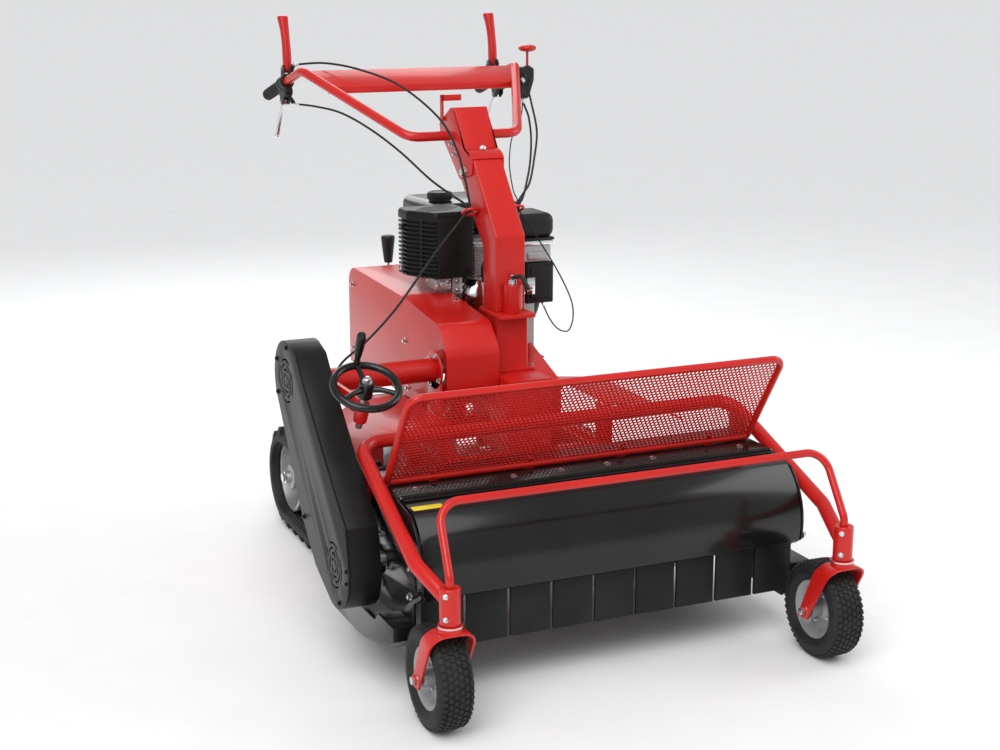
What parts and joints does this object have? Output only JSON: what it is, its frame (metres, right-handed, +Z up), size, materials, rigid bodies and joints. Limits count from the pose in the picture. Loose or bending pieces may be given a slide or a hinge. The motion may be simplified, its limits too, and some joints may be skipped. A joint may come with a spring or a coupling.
{
  "type": "brush mower",
  "caption": "Walk-behind tracked flail mower: rotor housing with lifting hood, caster frame with guard hoop, rubber tracks, belt drives, engine and swivelling handlebar.",
  "frame": {"origin": "centre of the bounding box on the ground plane", "axes": "+X to the machine's right seen from the front of the picture, +Y from the rotor housing back to the handlebar grips, +Z up"},
  "size_m": [1.135, 1.7962, 1.429],
  "materials": {
    "red_paint": "gloss red powder coat",
    "black_paint": "gloss black enamel",
    "grey_paint": "satin grey enamel",
    "black_plastic": "moulded black",
    "red_plastic": "moulded red",
    "rubber": "matt",
    "tyre": "matt tread",
    "steel": "machined, zinc",
    "chrome": "polished",
    "cast_alloy": "as cast"
  },
  "bodies": {
    "root": {"deck_shell": "black_paint", "chassis": "red_paint", "air_filter": "black_plastic", "belt_case_lid": "black_paint", "belt_case_tray": "black_paint", "belt_cover": "red_paint", "column_pedestal": "red_paint", "engine_belt": "rubber", "engine_block": "cast_alloy", "fuel_tank": "black_plastic", "guard": "red_paint", "layshaft_tube": "red_paint", "muffler_guard": "black_paint", "rotor_belt": "rubber", "rubber_track_left": "rubber", "rubber_track_right": "rubber", "transaxle": "cast_alloy"},
    "brake_lever_left": {"brake_lever_left": "chrome"},
    "brake_lever_right": {"brake_lever_right": "chrome"},
    "handlebar": {"cable_clutch_right": "rubber", "cable_clutch_upper": "rubber", "cable_drive_right": "rubber", "cable_drive_upper": "rubber", "grip_left": "rubber", "grip_right": "rubber", "handlebar": "red_paint"},
    "column": {"cable_height_lower": "rubber", "cable_throttle_lower": "rubber", "steering_column": "red_paint"},
    "caster_left": {"caster_fork_left": "red_paint"},
    "caster_right": {"caster_fork_right": "red_paint"},
    "caster_frame": {"caster_frame": "red_paint", "front_hoop": "red_paint"},
    "caster_wheel_left": {"caster_rim_left": "grey_paint", "caster_tyre_left": "tyre"},
    "caster_wheel_right": {"caster_rim_right": "grey_paint", "caster_tyre_right": "tyre"},
    "crank_handle": {"crank_handle": "black_plastic"},
    "sprocket_left": {"drive_sprocket_left": "steel"},
    "sprocket_right": {"drive_sprocket_right": "steel"},
    "engine_crank": {"engine_pulley": "steel"},
    "flaps": {"flap_curtain": "rubber"},
    "fuel_cap": {"fuel_cap": "black_plastic"},
    "gear_lever": {"gear_lever": "black_plastic"},
    "handwheel": {"handwheel": "black_plastic"},
    "hood": {"hood": "black_paint"},
    "layshaft": {"layshaft": "steel"},
    "lock_pin": {"lock_pin": "chrome"},
    "presence_lever_left": {"presence_lever_left": "red_plastic"},
    "presence_lever_right": {"presence_lever_right": "red_plastic"},
    "rotor": {"rotor": "steel", "rotor_pulley": "steel"},
    "stop_knob": {"stop_knob": "red_plastic"},
    "tilt_lever": {"tilt_lever": "red_paint"},
    "idler_left": {"track_idler_left": "steel"},
    "idler_right": {"track_idler_right": "steel"}
  },
  "joints": [
    {"name": "rotor_spin", "type": "hinge", "parent": "root", "child": "rotor", "pos_m": [0.0275, -0.4371, 0.262], "axis": [1, 0, 0], "continuous": true},
    {"name": "layshaft_spin", "type": "hinge", "parent": "root", "child": "layshaft", "pos_m": [0.0275, -0.0951, 0.6], "axis": [1, 0, 0], "continuous": true},
    {"name": "engine_spin", "type": "hinge", "parent": "root", "child": "engine_crank", "pos_m": [0.0275, 0.3699, 0.665], "axis": [1, 0, 0], "continuous": true},
    {"name": "hood_hinge", "type": "hinge", "parent": "root", "child": "hood", "pos_m": [0.0275, -0.5466, 0.4345], "axis": [1, 0, 0], "range_deg": [-40, 0]},
    {"name": "flaps_swing", "type": "hinge", "parent": "root", "child": "flaps", "pos_m": [0.0275, -0.6621, 0.252], "axis": [1, 0, 0], "range_deg": [0, 40]},
    {"name": "caster_frame_tilt", "type": "hinge", "parent": "root", "child": "caster_frame", "pos_m": [0.0275, -0.3621, 0.388], "axis": [1, 0, 0], "range_deg": [-4.05, 2.25]},
    {"name": "handwheel_turn", "type": "hinge", "parent": "root", "child": "handwheel", "pos_m": [-0.4725, -0.4051, 0.657], "axis": [0, -0.4714, 0.8819], "range_deg": [-720, 396]},
    {"name": "crank_handle_spin", "type": "hinge", "parent": "handwheel", "child": "crank_handle", "pos_m": [-0.4725, -0.34028, 0.69165], "axis": [0, -0.4714, 0.8819], "continuous": true},
    {"name": "column_swivel", "type": "hinge", "parent": "root", "child": "column", "pos_m": [0.0275, -0.0351, 0.7247], "axis": [0, 0, 1], "range_deg": [-30, 30], "deforming": ["cable_height_lower", "cable_throttle_lower"]},
    {"name": "lock_pin_lift", "type": "slide", "parent": "column", "child": "lock_pin", "axis": [0, 0, 1], "range_m": [0, 0.012], "stiffness_N_per_m": 400, "springref_m": -0.01},
    {"name": "handlebar_tilt", "type": "hinge", "parent": "column", "child": "handlebar", "pos_m": [0.0275, 0.1079, 1.056], "axis": [1, 0, 0], "range_deg": [-15, 20]},
    {"name": "tilt_lever_turn", "type": "hinge", "parent": "handlebar", "child": "tilt_lever", "pos_m": [-0.0205, 0.2559, 1.185], "axis": [1, 0, 0], "range_deg": [0, 25]},
    {"name": "stop_knob_pull", "type": "slide", "parent": "handlebar", "child": "stop_knob", "axis": [0, 0, 1], "range_m": [0, 0.015]},
    {"name": "gear_lever_tilt", "type": "hinge", "parent": "root", "child": "gear_lever", "pos_m": [-0.0185, 0.6849, 0.43], "axis": [1, 0, 0], "range_deg": [-12, 12]},
    {"name": "fuel_cap_turn", "type": "hinge", "parent": "root", "child": "fuel_cap", "pos_m": [0.0175, 0.3699, 0.947], "axis": [0, 0, 1], "range_deg": [0, 90]},
    {"name": "caster_swivel_left", "type": "hinge", "parent": "caster_frame", "child": "caster_left", "pos_m": [-0.4545, -0.8481, 0.2555], "axis": [0, 0, 1], "continuous": true},
    {"name": "caster_spin_left", "type": "hinge", "parent": "caster_left", "child": "caster_wheel_left", "pos_m": [-0.4545, -0.7841, 0.1145], "axis": [1, 0, 0], "continuous": true},
    {"name": "sprocket_spin_left", "type": "hinge", "parent": "root", "child": "sprocket_left", "pos_m": [0.0275, 0.6099, 0.145], "axis": [1, 0, 0], "continuous": true},
    {"name": "idler_spin_left", "type": "hinge", "parent": "root", "child": "idler_left", "pos_m": [0.0275, -0.0651, 0.145], "axis": [1, 0, 0], "continuous": true},
    {"name": "presence_lever_left_press", "type": "hinge", "parent": "handlebar", "child": "presence_lever_left", "pos_m": [-0.2845, 0.7499, 1.287], "axis": [1, 0, 0], "range_deg": [-60, 0], "stiffness_Nm_per_rad": 1, "springref_deg": 17.19},
    {"name": "brake_lever_left_squeeze", "type": "hinge", "parent": "handlebar", "child": "brake_lever_left", "pos_m": [-0.2955, 0.7439, 1.198], "axis": [1, 0, 0], "range_deg": [0, 28], "stiffness_Nm_per_rad": 0.8, "springref_deg": -17.19},
    {"name": "caster_swivel_right", "type": "hinge", "parent": "caster_frame", "child": "caster_right", "pos_m": [0.5095, -0.8481, 0.2555], "axis": [0, 0, 1], "continuous": true},
    {"name": "caster_spin_right", "type": "hinge", "parent": "caster_right", "child": "caster_wheel_right", "pos_m": [0.5095, -0.7841, 0.1145], "axis": [1, 0, 0], "continuous": true},
    {"name": "sprocket_spin_right", "type": "hinge", "parent": "root", "child": "sprocket_right", "pos_m": [0.0275, 0.6099, 0.145], "axis": [1, 0, 0], "continuous": true},
    {"name": "idler_spin_right", "type": "hinge", "parent": "root", "child": "idler_right", "pos_m": [0.0275, -0.0651, 0.145], "axis": [1, 0, 0], "continuous": true},
    {"name": "presence_lever_right_press", "type": "hinge", "parent": "handlebar", "child": "presence_lever_right", "pos_m": [0.3395, 0.7499, 1.287], "axis": [1, 0, 0], "range_deg": [-60, 0], "stiffness_Nm_per_rad": 1, "springref_deg": 17.19},
    {"name": "brake_lever_right_squeeze", "type": "hinge", "parent": "handlebar", "child": "brake_lever_right", "pos_m": [0.3505, 0.7439, 1.198], "axis": [1, 0, 0], "range_deg": [0, 28], "stiffness_Nm_per_rad": 0.8, "springref_deg": -17.19}
  ],
  "couplings": [
    {"joint": "layshaft_spin", "follows": "rotor_spin", "ratio": 1.2727},
    {"joint": "engine_spin", "follows": "rotor_spin", "ratio": 0.79192},
    {"joint": "caster_frame_tilt", "follows": "handwheel_turn", "ratio": 0.0055556},
    {"joint": "idler_spin_left", "follows": "sprocket_spin_left", "ratio": 1},
    {"joint": "idler_spin_right", "follows": "sprocket_spin_right", "ratio": 1}
  ]
}
